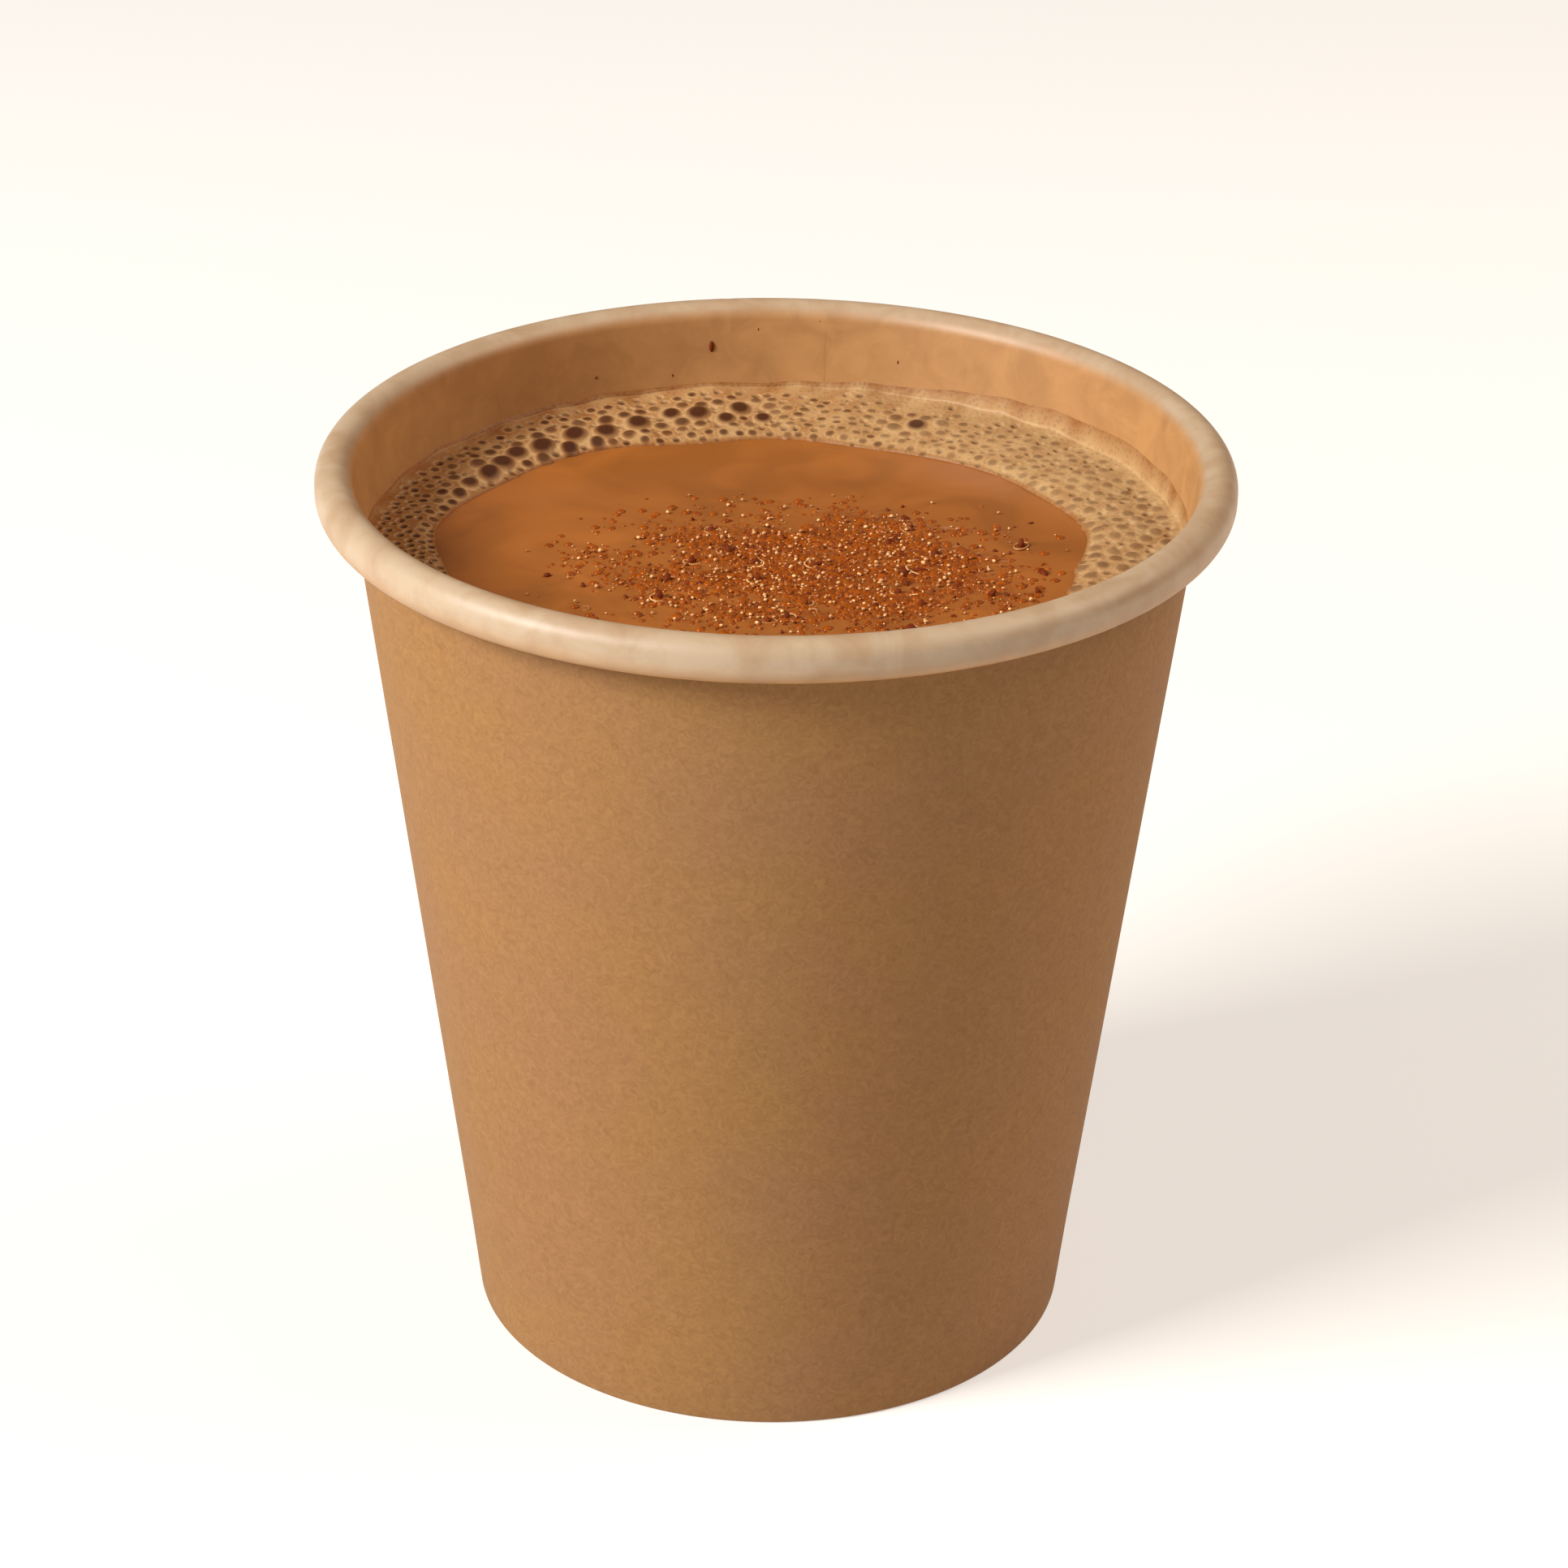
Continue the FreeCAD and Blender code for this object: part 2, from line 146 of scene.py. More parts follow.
class SpiceSettings(bpy.types.PropertyGroup):
    """Amounts, sizes and colours of the ground spice and the small bubbles in it."""
    grain_small: length("Smallest grain", "Radius of the finest grains of spice", 0.14)
    grain_large: length("Largest grain", "Radius of the coarsest common grains", 0.42)
    bead_small: length("Smallest bead", "Radius of the smallest floating bubble", 0.18)
    bead_large: length("Largest bead", "Radius of the largest floating bubble", 0.42)
    # The specks are pale clusters of fine bubbles whose colour is partly a painted glint.
    speck_small: length("Smallest speck", "Radius of the smallest cluster of fine bubbles", 0.07)
    speck_large: length("Largest speck", "Radius of the largest cluster of fine bubbles", 0.2)
    # The outlines are pale hoops, partly real rims of bubbles and partly painted highlights along them.
    ring_small: length("Smallest outline", "Radius of the smallest bubble outline", 0.26)
    ring_large: length("Largest outline", "Radius of the largest bubble outline", 0.85)
    specks: amount("Specks", "Clusters of fine bubbles per square centimetre", 330)
    grains: amount("Grains", "Grains of spice per square centimetre", 520)
    beads: amount("Beads", "Small bubbles per square centimetre", 640)
    flake_small: length("Smallest flake", "Radius of the smaller dark flakes", 0.3)
    flake_large: length("Largest flake", "Radius of the largest dark flake", 0.8)
    flakes: amount("Flakes", "Dark flakes per square centimetre", 18)
    rings: amount("Rings", "Bubble outlines per square centimetre", 26)
    seed: amount("Seed", "Seed for the scatter", 11)
    spice: colour("Spice", "Ground spice steeped in the surface", "#7C390A")
    dark: colour("Dark spice", "Cardamom husk and tea leaf, wet", "#581E06")
    pale: colour("Pale spice", "The palest grains, wet", "#9F5114")
    flake: colour("Flake", "Redder parts of the dark flakes", "#742F08")
    clear: colour("Clear bubble", "Spicy tea seen through a bubble", "#96490B")
    # Pale warm colour of the fine bubble specks and bubble outlines: partly the pale of very fine froth,
    # partly a painted glint for the highlights on the wet spice.
    glint: colour("Fine bubbles", "The finest bubbles, which scatter light", "#F0C084")


class StageSettings(bpy.types.PropertyGroup):
    """Camera, floor and lights."""
    pitch: angle("Pitch", "How far the camera looks down", 26.305)
    roll: angle("Roll", "Turn of the camera about its own axis", 0.642)
    distance: length("Distance", "From the camera to the point it looks at", 391.01)
    aim_across: length("Aim across", "Sideways place of that point", 0.889)
    aim_height: length("Aim height", "Height of that point above the table", 46.508)
    lens: amount("Lens", "Focal length in millimetres on a 36 mm sensor", 108.28, FloatProperty)
    key: amount("Key light", "Watts of the window-like light at the left", 14.2, FloatProperty)
    fill: amount("Fill light", "Watts of the weak light at the right", 3.2, FloatProperty)
    sky: amount("Surround", "Strength of the warm surround", 0.12, FloatProperty)
    floor: colour("Floor", "Pale floor", "#BCB8B2")


# ---- Shared helpers ----

def node(tree, kind, inputs=None, **settings):
    """Adds a node, with its settings, and fills or links its inputs by name or number."""
    made = tree.nodes.new(kind)
    for name, value in settings.items():
        setattr(made, name, value)
    for key, value in (inputs or {}).items():
        if isinstance(value, bpy.types.NodeSocket):
            tree.links.new(value, made.inputs[key])
        else:
            made.inputs[key].default_value = value
    return made


def opaque(rgb):
    """A colour with full alpha."""
    return (*rgb, 1.0)


def bump(value, centre, width):
    """A smooth hump, 1 at its centre, that fades over the width to each side."""
    return np.exp(-((value - centre) / width) ** 2)


def turn_bump(degrees, centre, width):
    """The same about the axis, in degrees."""
    away = (degrees - centre + FULL_TURN / 2) % FULL_TURN - FULL_TURN / 2
    return np.exp(-(away / width) ** 2)


def smooth_step(value, start, end):
    """0 up to start, 1 from end, and smooth between."""
    t = np.clip((value - start) / (end - start), 0, 1)
    return t * t * (3 - 2 * t)


def waves(turn, seed, first=2, count=5):
    """An uneven smooth wave about the axis, roughly from -1 to 1. turn is in radians."""
    random = np.random.default_rng(seed)
    orders = first + np.arange(count)
    shifts = random.uniform(0, 2 * math.pi, count)
    sizes = random.uniform(0.5, 1, count) / np.sqrt(orders)
    total = sum(s * np.sin(o * turn + p) for s, o, p in zip(sizes, orders, shifts))
    return total / sizes.sum() * 1.6


def cloud(x, y, sizes, seed):
    """An uneven pattern over a plane, roughly from -1 to 1, of blots of these sizes in metres."""
    random = np.random.default_rng(seed)
    total = 0
    for size in sizes:
        for heading in random.uniform(0, 2 * math.pi, 5):
            along = (x * math.cos(heading) + y * math.sin(heading)) * 2 * math.pi / size
            total = total + np.sin(along * random.uniform(0.8, 1.25) + random.uniform(0, 7))
    return total / math.sqrt(2.5 * len(sizes)) / 1.6


def ring_mesh(name, rows, closed=False):
    """A mesh through rows of points that each run once round the axis.

    A closed mesh joins its last row to its first. An open one ends at a pole at each end, on
    the axis, at the height of that end's row.
    """
    rows = np.asarray(rows, float)
    count, around = rows.shape[:2]
    index = np.arange(count * around).reshape(count, around)
    lower = index if closed else index[:-1]
    upper = np.roll(index, -1, axis=0)[:len(lower)]
    quads = np.stack([lower, np.roll(lower, -1, 1), np.roll(upper, -1, 1), upper], -1)
    faces = quads.reshape(-1, 4).tolist()
    points = rows.reshape(-1, 3).tolist()
    if not closed:
        for row in (0, count - 1):
            centre = len(points)
            points.append([0.0, 0.0, float(rows[row, :, 2].mean())])
            edge = index[row].tolist()
            faces += [[a, b, centre] for a, b in zip(edge, edge[1:] + edge[:1])]
    mesh = bpy.data.meshes.new(name)
    mesh.from_pydata(points, [], faces)
    work = bmesh.new()
    work.from_mesh(mesh)
    bmesh.ops.recalc_face_normals(work, faces=work.faces)
    work.to_mesh(mesh)
    work.free()
    mesh.shade_smooth()
    return mesh


def add_values(mesh, name, values):
    """Gives each point of a mesh a value that its material reads. Poles get zero."""
    data = np.zeros(len(mesh.vertices), np.float32)
    values = np.asarray(values, np.float32).ravel()
    data[:len(values)] = values
    mesh.attributes.new(name, "FLOAT", "POINT").data.foreach_set("value", data)


def add_piece(name, mesh, materials, replaced=()):
    """Puts a finished mesh into the scene as a piece that rides on the cup."""
    piece = bpy.data.objects.new(name, mesh)
    bpy.context.scene.collection.objects.link(piece)
    mesh.materials.clear()
    for material in materials:
        mesh.materials.append(material)
    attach(piece, BODY)
    if replaced:
        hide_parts(*replaced)
    return piece


def around(radius, height, turn):
    """Points at a radius and height, for angles about the axis in radians."""
    radius, height, turn = np.broadcast_arrays(radius, height, turn)
    return np.stack([radius * np.cos(turn), radius * np.sin(turn), height], -1)


def arc(centre, radius, start, end, steps):
    """Points along an arc in a section through the axis, with angles in degrees."""
    turn = np.radians(np.linspace(start, end, steps + 1))
    return [(centre[0] + radius * math.cos(t), centre[1] + radius * math.sin(t)) for t in turn]


def between(start, end, steps):
    """Points along a straight line, both ends included."""
    return [tuple(p) for p in np.linspace(start, end, steps + 1)]


class CupForm:
    """The cup's section, from the frame's boxes and the cup's settings."""

    def __init__(self, cup):
        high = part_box("cup_wall")[1]
        self.board = cup.board
        self.skin = cup.roll_width / 2
        self.inside = self.skin - cup.board
        self.roll_radius = high.x - self.skin
        self.roll_top = high.z - self.skin
        self.roll_low = self.roll_top - cup.roll_straight
        self.foot = cup.foot_diameter / 2
        across = self.roll_radius - self.foot
        self.lean = math.acos(self.inside / math.hypot(across, self.roll_top)) \
            - math.atan2(self.roll_top, across)
        self.floor_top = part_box("cup_floor")[1].z
        self.tea_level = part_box("chai")[1].z

    def at(self, inwards, height):
        """The point at a height on the plane that lies so far inside the outer face."""
        return (self.foot - inwards / math.cos(self.lean) + height * math.tan(self.lean), height)

    def beside(self, centre, distance):
        """The point at a distance from a centre, square to the wall and outwards."""
        return (centre[0] + distance * math.cos(self.lean), centre[1] - distance * math.sin(self.lean))

    def inner(self, height):
        """Radius of the wall's inner face at a height, or at several."""
        return self.foot - self.board / math.cos(self.lean) + height * math.tan(self.lean)


# ---- Materials ----

def new_material(name):
    """An empty node material, its tree, its shader and its object coordinates."""
    material = bpy.data.materials.new(name)
    material.use_nodes = True
    tree = material.node_tree
    tree.nodes.clear()
    shader = node(tree, "ShaderNodeBsdfPrincipled")
    node(tree, "ShaderNodeOutputMaterial", {"Surface": shader.outputs["BSDF"]})
    place = node(tree, "ShaderNodeTexCoord").outputs["Object"]
    return material, tree, shader, place


def noise(tree, place, millimetres, detail, **inputs):
    """A cloudy texture with blots of this size."""
    inputs = {"Vector": place, "Scale": 1 / (millimetres * MM), "Detail": detail, **inputs}
    return node(tree, "ShaderNodeTexNoise", inputs).outputs["Fac"]


def cells(tree, place, millimetres):
    """Distance from the nearest of many random points that lie this far apart."""
    inputs = {"Vector": place, "Scale": 1 / (millimetres * MM)}
    return node(tree, "ShaderNodeTexVoronoi", inputs).outputs["Distance"]


def remap(tree, value, low, high, start=0.0, end=1.0):
    """A value that goes from start to end while the given one goes from low to high."""
    return node(tree, "ShaderNodeMapRange", {"Value": value, "From Min": low, "From Max": high,
                                             "To Min": start, "To Max": end}).outputs["Result"]


def mixed(tree, share, first, second, **settings):
    """Two colours mixed, all of the first at a share of 0 and all of the second at 1."""
    inputs = {"Factor": share}
    for key, value in (("A", first), ("B", second)):
        inputs[key] = value if isinstance(value, bpy.types.NodeSocket) else opaque(value)
    return node(tree, "ShaderNodeMix", inputs, data_type="RGBA", **settings).outputs["Result"]


def point_value(tree, name):
    """A value that the mesh holds at each of its points."""
    return node(tree, "ShaderNodeAttribute", attribute_name=name).outputs["Fac"]


def maths(tree, operation, first, second):
    """One sum on two values."""
    return node(tree, "ShaderNodeMath", {0: first, 1: second}, operation=operation).outputs["Value"]


def emboss(tree, shader, height, strength, millimetres, **settings):
    """Raises the fine relief of a surface, up to this high."""
    relief = node(tree, "ShaderNodeBump", {"Height": height, "Strength": strength,
                                           "Distance": millimetres * MM}, **settings)
    tree.links.new(relief.outputs["Normal"], shader.inputs["Normal"])


def coat(tree, shader, tint, **values):
    """Gives a shader its colour and its constant values, named with _ for each space."""
    tree.links.new(tint, shader.inputs["Base Color"])
    for name, value in values.items():
        shader.inputs[name.replace("_", " ")].default_value = value


def kraft_board(cup):
    """Unbleached kraft cupboard, machine made and left bare outside.

    Long brown fibres lie in every direction, so the eye sees a dry matte sheet with a fine
    felted mottle and faint cloudy patches, some redder and some yellower.
    """
    material, tree, shader, place = new_material("kraft_board")
    clouds = remap(tree, noise(tree, place, 14, 3.0, Roughness=0.55), 0.38, 0.64)
    base = mixed(tree, clouds, cup.kraft, cup.kraft_pink)
    # Single fibres are 0.02 mm wide; the felted tangles that they form are what shows.
    fibres = noise(tree, place, 0.85, 5.0, Roughness=0.62, Distortion=1.8)
    mottled = mixed(tree, remap(tree, fibres, 0.35, 0.7, 0.0, 0.55), base, cup.kraft_fibre)
    emboss(tree, shader, fibres, 0.35, 0.06)
    coat(tree, shader, mottled, Roughness=0.82, Specular_IOR_Level=0.35)
    return material


def lined_kraft(cup):
    """The same board under a thin film of clear polyethylene, extruded on as it is made.

    The film closes the fibres in, so the inner face is smooth and softly shiny. Round the rim the colour
    is paler and greyer, with cloudy patches:
    in part the film hazed by rolling, in part a painted highlight for the pale sheen that the rolled rim
    catches.
    """
    material, tree, shader, place = new_material("lined_kraft")
    mottle = noise(tree, place, 3.2, 4.0, Roughness=0.6, Distortion=0.8)
    wall = mixed(tree, remap(tree, mottle, 0.34, 0.72, 0.0, 0.35), cup.lined, cup.kraft_fibre)
    haze = noise(tree, place, 4.5, 5.0, Roughness=0.6, Distortion=0.5)
    # The rim's paler colour is partly a painted highlight.
    rim = mixed(tree, remap(tree, haze, 0.4, 0.7, 0.0, 0.7), cup.rim, cup.rim_dull)
    emboss(tree, shader, mottle, 0.2, 0.05)
    coat(tree, shader, mixed(tree, point_value(tree, "rolled"), wall, rim), Roughness=0.48, IOR=1.5)
    return material


def milky_tea(drink, spice):
    """Black tea boiled with milk, a smooth opaque liquid with fat afloat.

    It is even and warm brown with a wet shine. Where spice has steeped, the surface turns orange.
    """
    material, tree, shader, place = new_material("milky_tea")
    milk = remap(tree, noise(tree, place, 11, 2.5, Distortion=1.2), 0.35, 0.7, 0.84, 1.2)
    tea = mixed(tree, 1.0, drink.tea, milk, blend_type="MULTIPLY")
    steeped = point_value(tree, "spice")
    uneven = remap(tree, noise(tree, place, 1.3, 3.0, Roughness=0.65), 0.25, 0.5)
    share = maths(tree, "MULTIPLY", steeped, uneven)
    stained = mixed(tree, share, tea, spice.spice)
    # Finer dust than the modelled grains lies between them, in dark specks 0.7 mm apart.
    dust = cells(tree, place, 0.7)
    dusty = maths(tree, "MULTIPLY", remap(tree, dust, 0.2, 0.42, 0.85, 0.0), share)
    emboss(tree, shader, maths(tree, "MULTIPLY", dust, steeped), 0.8, 0.25)
    coat(tree, shader, mixed(tree, dusty, stained, spice.dark), Roughness=0.14, IOR=1.34)
    return material


def tea_froth(drink):
    """Milk froth: bubbles of every size in thin films of tea.

    The finest bubbles scatter light and look pale tan. Each larger one is coloured dark with a pale
    outline: the tea shows through it, and its darkness, deeper than the tea's own colour, is painted shade
    for the dimness inside the bubble.
    """
    material, tree, shader, place = new_material("tea_froth")
    # The finest bubbles are under 0.1 mm; they are drawn at 0.45 mm so that they show.
    fine = cells(tree, place, 0.45)
    # The middle of each fine cell is darkened a little towards the bubble colour, painted shade as in the
    # larger bubbles.
    hollow = maths(tree, "MAXIMUM", point_value(tree, "bubble"), remap(tree, fine, 0.1, 0.5, 0.25, 0.0))
    # The thin value also carries painted light and shade across the ring: paler froth at the right,
    # browner at the left.
    body = mixed(tree, point_value(tree, "thin"), drink.froth, drink.film)
    emboss(tree, shader, fine, 0.5, 0.08, invert=True)
    coat(tree, shader, mixed(tree, hollow, body, drink.bubble), Roughness=0.5, IOR=1.34)
    return material


def wet_spice(spice):
    """Ground ginger, cardamom, cinnamon and tea dust, wet and half sunk.

    Each grain has its own tone, from dull orange to almost black, and a wet shine.
    """
    material, tree, shader, place = new_material("ground_spice")
    few_dark = maths(tree, "POWER", point_value(tree, "tone"), 2.2)
    emboss(tree, shader, noise(tree, place, 0.25, 2.0), 0.4, 0.04)
    coat(tree, shader, mixed(tree, few_dark, spice.pale, spice.dark),
         Roughness=0.45, Specular_IOR_Level=0.25, IOR=1.38)
    return material


def wet_flake(spice):
    """Flakes of cardamom husk and tea leaf, dark, thin and wet."""
    material, tree, shader, place = new_material("wet_flake")
    vein = noise(tree, place, 0.4, 3.0)
    emboss(tree, shader, vein, 0.5, 0.05)
    coat(tree, shader, mixed(tree, vein, spice.dark, spice.flake),
         Roughness=0.55, Specular_IOR_Level=0.2, IOR=1.33)
    return material


def bubble_film(spice):
    """Small bubbles with the spicy tea seen through them: clear orange-brown beads with a hard glint."""
    material, tree, shader, _ = new_material("bubble_film")
    coat(tree, shader, mixed(tree, point_value(tree, "tone"), spice.spice, spice.clear),
         Roughness=0.2, Specular_IOR_Level=0.3, IOR=1.34)
    return material


def fine_bubble_glints(spice):
    """Clusters of bubbles too fine to see into, pale and warm: partly the pale of fine froth, partly
    painted glints that stand in for the highlights on the wet spice.
    """
    material, tree, shader, _ = new_material("fine_bubble_glints")
    coat(tree, shader, mixed(tree, point_value(tree, "tone"), spice.glint, spice.clear),
         Roughness=0.3, IOR=1.34)
    return material


def pale_floor(stage):
    """A plain pale tabletop."""
    material, _, shader, _ = new_material("pale_floor")
    shader.inputs["Base Color"].default_value = opaque(stage.floor)
    shader.inputs["Roughness"].default_value = 0.9
    # A little light of its own, as on a table lit from below, so that shadows stay faint.
    shader.inputs["Emission Color"].default_value = (1, 0.99, 0.98, 1)
    shader.inputs["Emission Strength"].default_value = 0.5
    return material


# ---- The paper cup ----

WALL_STEPS = 40           # steps up each face of the leaning sheet
CURL_STEPS = 20           # steps round the outer skin of the curl, below the roll's straight side
WALL_WOBBLE = 0.09 * MM   # how far the side sheet strays inwards from a true cone
RIM_DIP = 0.05 * MM       # the small dent across the rolled rim at each edge of the lap
LAP_SHOWS = 0.015 * MM    # how far the lap's edge shows through on the inner face
SHARP_FROM = math.radians(35)


def lap_edges(cup):
    """Where the glued lap starts and ends, in degrees about the axis."""
    half = math.degrees(cup.lap_width) / 2
    return LAP_TURN - half, LAP_TURN + half


def cup_turns(cup):
    """The angles that the side sheet is drawn at, closer together at the edges of the lap."""
    start, end = lap_edges(cup)
    close = [start - 2.5, start - 1.5, start - 0.1, start + 0.05, start + 0.15, end - 0.1, end + 0.05]
    even = np.arange(0, FULL_TURN, 1.0)
    return np.unique(np.concatenate([even, close, [end + 0.12, end + 0.5, start + 0.5]]))


def cup_side_mesh(form, cup):
    """The side sheet: folded up inside the foot, leaning out, rolled outwards at the rim.

    Its closed section runs up the bare outer face, round the inside of the roll, back over the
    lined outer skin of the roll, down the lined inner face and round the fold at the foot.
    """
    lean = math.degrees(form.lean)
    board, rounding = form.board, cup.foot_round
    top, low = (form.roll_radius, form.roll_top), (form.roll_radius, form.roll_low)
    reach = form.inside + cup.roll_straight * math.sin(form.lean)
    curl_end = -math.degrees(math.acos((cup.curl_gap - reach) / form.skin)) - lean
    fold_top = form.floor_top - cup.floor_bend - cup.fold_gap
    foot = arc(form.at(rounding, rounding), rounding, -90, -lean, 4)
    bare = foot + between(foot[-1], form.beside(top, -form.inside), WALL_STEPS)[1:]
    bare += arc(top, form.inside, 180 - lean, 0, 12)[1:] + arc(low, form.inside, 0, curl_end, 10)
    skin = arc(low, form.skin, curl_end, 0, CURL_STEPS) + arc(top, form.skin, 0, 180 - lean, 24)
    lined = skin + between(form.beside(top, -form.skin), form.at(board, board), WALL_STEPS)[1:]
    fold = [form.at(2 * board, board), form.at(2 * board, fold_top), form.at(3 * board, fold_top)]
    fold += arc(form.at(3 * board - rounding, rounding), rounding, 180 - lean, 270, 4)
    section = np.array(bare + lined + fold)
    radius, height = section[:, :1], section[:, 1:]
    rows = np.arange(len(section))[:, None]

    degrees = cup_turns(cup)[None, :]
    turn = np.radians(degrees)
    start, end = lap_edges(cup)
    outer_face = (rows < len(foot) + WALL_STEPS) & (rows > 1)
    roll = (rows >= len(bare)) & (rows < len(bare) + len(skin))
    inner_face = (rows >= len(bare) + len(skin)) & (rows < len(bare) + len(lined) - 1)
    roll_foot = form.roll_low - form.skin
    under_roll = smooth_step(height, roll_foot + 0.2 * MM, roll_foot - 0.4 * MM)
    lapped = smooth_step(degrees, start - 2.5, start + 0.3) * (1 - smooth_step(degrees, end, end + 0.12))
    out = outer_face * under_roll * board * lapped
    stepped = smooth_step(degrees, start - 2, start - 0.1) * (1 - smooth_step(degrees, start, start + 0.1))
    out = out + inner_face * LAP_SHOWS * stepped
    dent = turn_bump(degrees, end, 0.7) + 0.6 * turn_bump(degrees, start, 0.9)
    out = out - roll * RIM_DIP * dent
    stray = 0.5 + 0.5 * waves(turn, 3) * np.cos(height / form.roll_top * 4)
    out = out - WALL_WOBBLE * np.clip(stray, 0, 1) * smooth_step(height, 0, 8 * MM)
    mesh = ring_mesh("cup_side", around(radius + out, height + 0 * out, turn), closed=True)
    kinds = np.ones(len(section), int)
    kinds[:len(bare)] = 0
    kinds[len(bare) + len(lined) - 1:] = 0
    mesh.set_sharp_from_angle(angle=SHARP_FROM)
    # 1 where the board has been rolled and takes the paler rim colour: the whole curl, fading out inside
    # the rim. Towards the underside of the roll it fades out too, so the underside turns to the darker
    # wall colour, a painted shade under the rim.
    inside = smooth_step(radius, form.roll_radius - 1.02 * form.skin, form.roll_radius - 0.6 * form.skin)
    rolled = np.where(rows < len(bare) + CURL_STEPS, 1.0, inside)
    rolled = rolled * smooth_step(height, roll_foot, form.roll_low + 0.5 * MM)
    add_values(mesh, "rolled", np.repeat(rolled, degrees.size, 1))
    return mesh, np.repeat(kinds, degrees.size)


def cup_floor_mesh(form, cup):
    """The floor disc, turned down at its edge into the skirt that the fold at the foot clamps."""
    lean = math.degrees(form.lean)
    board, bend, top = form.board, cup.floor_bend, form.floor_top
    centre = form.at(board + bend, top - bend)
    skirt_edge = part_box("cup_floor")[0].z
    upper = arc(centre, bend, 90, -lean, 8)
    lower = arc(centre, bend - board, -lean, 90, 6)
    section = between((2 * MM, top), upper[0], 8)[:-1] + upper + [form.at(board, skirt_edge)]
    section += [form.at(2 * board, skirt_edge)] + lower
    section += between(lower[-1], (2 * MM, top - board), 8)[1:]
    section = np.array(section)
    turn = np.radians(np.arange(0, FULL_TURN, 2.0))[None, :]
    # A pressed disc is never quite flat: it lifts a little between the middle and the edge.
    across = section[:, :1] / centre[0]
    lift = -0.1 * MM * (1 + waves(turn, 5)) * bump(across, 0.55, 0.3) * (section[:, 1:] < top - 0.1 * MM)
    mesh = ring_mesh("cup_floor_disc", around(section[:, :1], section[:, 1:] + lift, turn))
    mesh.set_sharp_from_angle(angle=SHARP_FROM)
    return mesh


# ---- The chai ----

def spice_share(x, y):
    """How thickly spice lies on the chai at a place, from 0 to 1. x and y are in metres."""
    core = np.exp(-(((x / MM - 5) / 11) ** 2 + ((y / MM + 5) / 8.5) ** 2) ** 1.6)
    drift = 0.5 * np.exp(-(((x / MM - 1.5) / 17) ** 2 + ((y / MM + 5) / 12.5) ** 2) ** 2.2)
    broken = cloud(x, y, (9 * MM, 5 * MM, 2.8 * MM), 21)
    return np.clip(core * (1 + 0.45 * broken) + drift * np.clip(0.5 + 0.9 * broken, 0, 1), 0, 1)


def chai_mesh(form):
    """The chai, from the floor up to a level surface that rises a little at the wall."""
    level, reach = form.tea_level, form.board * 0.35
    turn = np.radians(np.arange(0, FULL_TURN, 1.125))[None, :]
    meniscus = 0.3 * MM
    heights = np.linspace(form.floor_top, level + meniscus, 12)
    edge = form.inner(heights[-1]) + reach
    side = np.stack([form.inner(heights) + reach, heights], -1)
    radii = np.concatenate([np.linspace(edge, 26 * MM, 12)[1:], np.linspace(25.8 * MM, 0.3 * MM, 110)])
    rise = meniscus * np.exp(-(edge - radii) / (1.6 * MM))
    section = np.concatenate([[[2 * MM, form.floor_top]], side, np.stack([radii, level + rise], -1)])
    points = around(section[:, :1], section[:, 1:], turn)
    share = spice_share(points[..., 0], points[..., 1])
    share[:len(side) + 1] = 0
    lumps = cloud(points[..., 0], points[..., 1], (1.6 * MM, 1.0 * MM), 9)
    points[..., 2] += share * 0.09 * MM * (1 + lumps)
    mesh = ring_mesh("chai_surface", points)
    add_values(mesh, "spice", share)
    return mesh


# ---- The froth ----

FROTH_TURNS, FROTH_STEPS = 1440, 58   # points round the ring of froth, and across it
BUBBLE_TRIES = 26000
MOST_STRETCH = 0.6        # how much taller than wide the largest bubbles stand, seen from above


def opening_radius(form, drink, turn):
    """Radius of the froth's inner edge: narrower ring at the sides, and wavy."""
    middle = form.inner(form.tea_level) - drink.froth_breadth
    edge = middle + drink.froth_oval * np.cos(2 * turn) - drink.froth_shift * np.cos(turn)
    return edge + drink.froth_wave * (np.sin(9 * turn) + waves(turn, 31, 5, 9))


